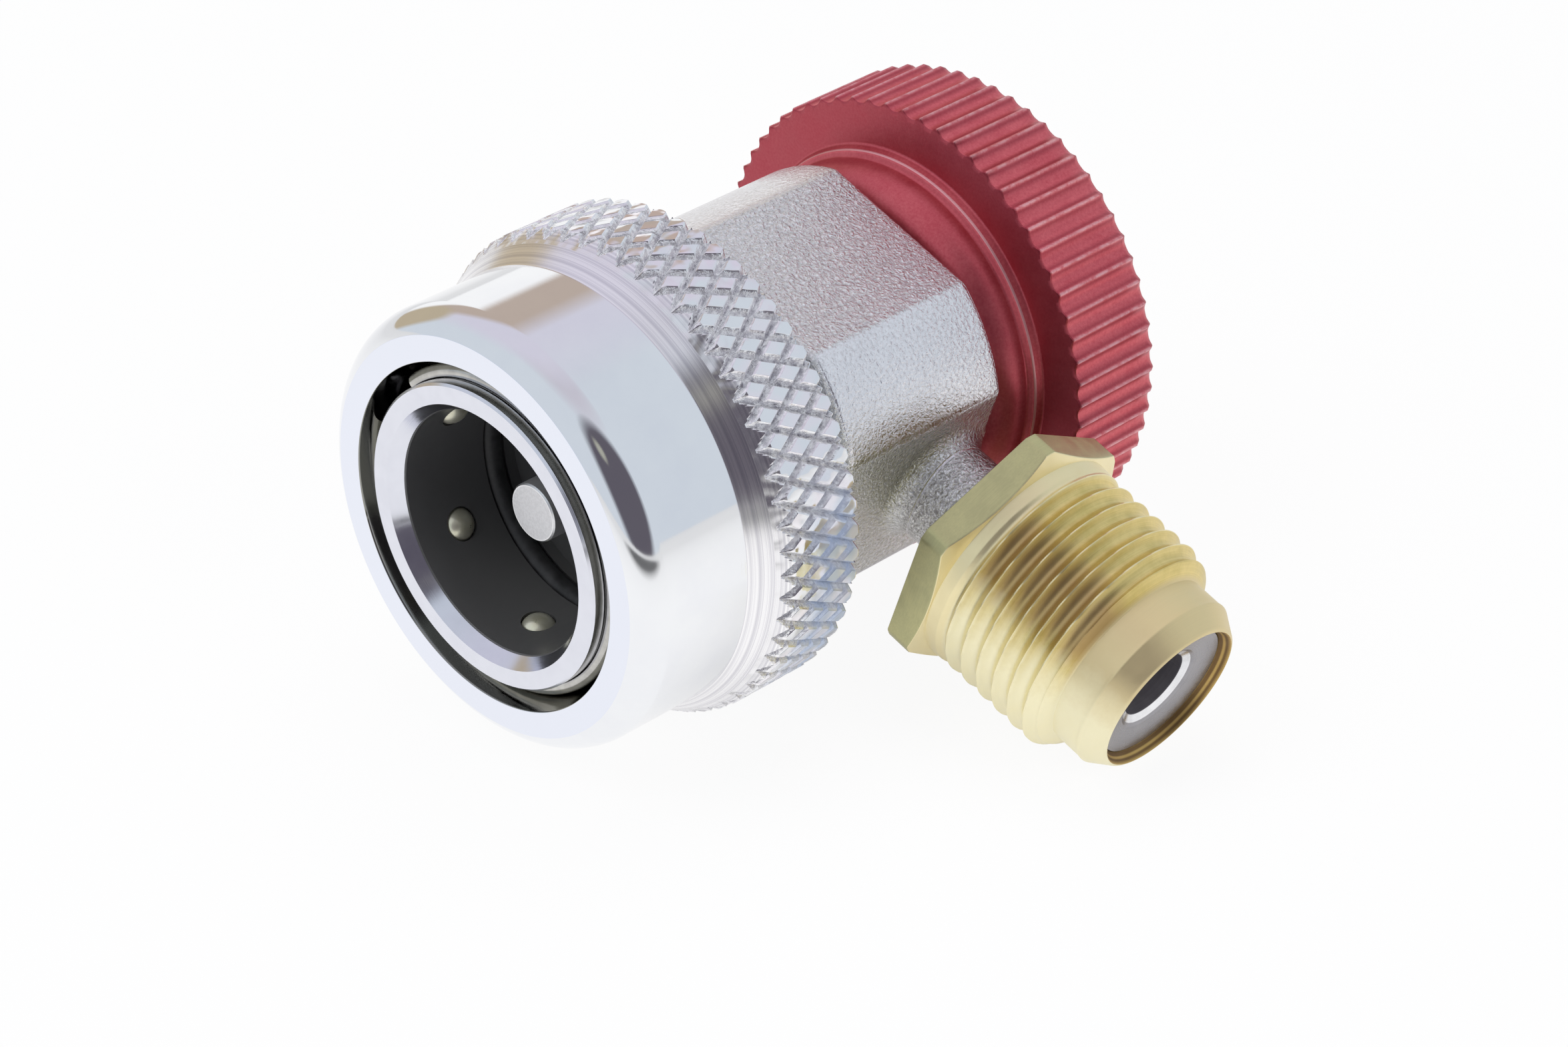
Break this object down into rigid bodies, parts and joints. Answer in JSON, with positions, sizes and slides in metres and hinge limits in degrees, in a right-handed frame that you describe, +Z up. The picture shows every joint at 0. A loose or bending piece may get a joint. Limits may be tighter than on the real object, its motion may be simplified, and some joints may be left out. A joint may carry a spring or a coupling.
{
  "type": "refrigerant service coupler",
  "caption": "Right-angle quick coupler for a vehicle air-conditioning service port: sprung ball-lock sleeve, pin opened by a hand knob, threaded brass hose outlet.",
  "frame": {"origin": "centre of the open mouth of the service port socket, in the plane of the mouth face", "axes": "+X along the coupler axis from the mouth to the knob, +Z up as the coupler lies on a bench on its knurl, its knob and the end of its side fitting; the side fitting points to -Y and 18.4 degrees down"},
  "size_m": [0.0446, 0.0498, 0.033],
  "materials": {
    "body_nickel": "satin nickel plate over a fine cast skin",
    "nose_steel": "turned and polished rim, dark bore",
    "sleeve_chrome": "bright chrome plate",
    "knob_red": "matt red anodised",
    "fitting_brass": "bare machined brass",
    "insert_nickel": "bright nickel",
    "ball_steel": "polished ball",
    "pin_steel": "turned, unpolished",
    "spring_steel": "drawn wire",
    "washer_zinc": "zinc plated",
    "seal_rubber": "smooth black rubber",
    "gasket_copper": "soft copper"
  },
  "bodies": {
    "valve_body": {"valve_body": "body_nickel", "nose_barrel": "nose_steel", "nose_gasket": "gasket_copper", "socket_seal": "seal_rubber", "retaining_ring": "spring_steel", "spring_seat": "washer_zinc", "gland_nut": "fitting_brass", "gland_seal": "seal_rubber", "spindle_seal": "seal_rubber", "side_fitting": "fitting_brass", "fitting_gasket": "seal_rubber", "outlet_insert": "insert_nickel", "insert_seal": "seal_rubber", "sleeve_spring": "spring_steel"},
    "release_sleeve": {"release_sleeve": "sleeve_chrome"},
    "ball_1": {"ball_1": "ball_steel"},
    "ball_2": {"ball_2": "ball_steel"},
    "ball_3": {"ball_3": "ball_steel"},
    "ball_4": {"ball_4": "ball_steel"},
    "ball_5": {"ball_5": "ball_steel"},
    "ball_6": {"ball_6": "ball_steel"},
    "plunger": {"plunger": "pin_steel", "swivel_clip": "spring_steel"},
    "knob": {"spindle": "fitting_brass", "knob": "knob_red", "knob_washer": "washer_zinc", "knob_screw": "washer_zinc"}
  },
  "joints": [
    {"name": "sleeve_slide", "type": "slide", "parent": "valve_body", "child": "release_sleeve", "axis": [1, 0, 0], "range_m": [0, 0.0026], "stiffness_N_per_m": 1500, "springref_m": -0.004, "deforming": ["sleeve_spring"]},
    {"name": "ball_1_slide", "type": "slide", "parent": "valve_body", "child": "ball_1", "axis": [0, 0.866, 0.5], "range_m": [0, 0.00051]},
    {"name": "ball_2_slide", "type": "slide", "parent": "valve_body", "child": "ball_2", "axis": [0, 0, 1], "range_m": [0, 0.00051]},
    {"name": "ball_3_slide", "type": "slide", "parent": "valve_body", "child": "ball_3", "axis": [0, -0.866, 0.5], "range_m": [0, 0.00051]},
    {"name": "ball_4_slide", "type": "slide", "parent": "valve_body", "child": "ball_4", "axis": [0, -0.866, -0.5], "range_m": [0, 0.00051]},
    {"name": "ball_5_slide", "type": "slide", "parent": "valve_body", "child": "ball_5", "axis": [0, 0, -1], "range_m": [0, 0.00051]},
    {"name": "ball_6_slide", "type": "slide", "parent": "valve_body", "child": "ball_6", "axis": [0, 0.866, -0.5], "range_m": [0, 0.00051]},
    {"name": "plunger_slide", "type": "slide", "parent": "valve_body", "child": "plunger", "axis": [1, 0, 0], "range_m": [0, 0.00401]},
    {"name": "knob_turn", "type": "hinge", "parent": "plunger", "child": "knob", "pos_m": [0.04, 0, 0], "axis": [1, 0, 0], "range_deg": [0, 1440]}
  ],
  "couplings": [
    {"joint": "ball_1_slide", "follows": "sleeve_slide", "ratio": 0.19231},
    {"joint": "ball_2_slide", "follows": "sleeve_slide", "ratio": 0.19231},
    {"joint": "ball_3_slide", "follows": "sleeve_slide", "ratio": 0.19231},
    {"joint": "ball_4_slide", "follows": "sleeve_slide", "ratio": 0.19231},
    {"joint": "ball_5_slide", "follows": "sleeve_slide", "ratio": 0.19231},
    {"joint": "ball_6_slide", "follows": "sleeve_slide", "ratio": 0.19231},
    {"joint": "plunger_slide", "follows": "knob_turn", "m_per_rad": 0.00015915}
  ]
}
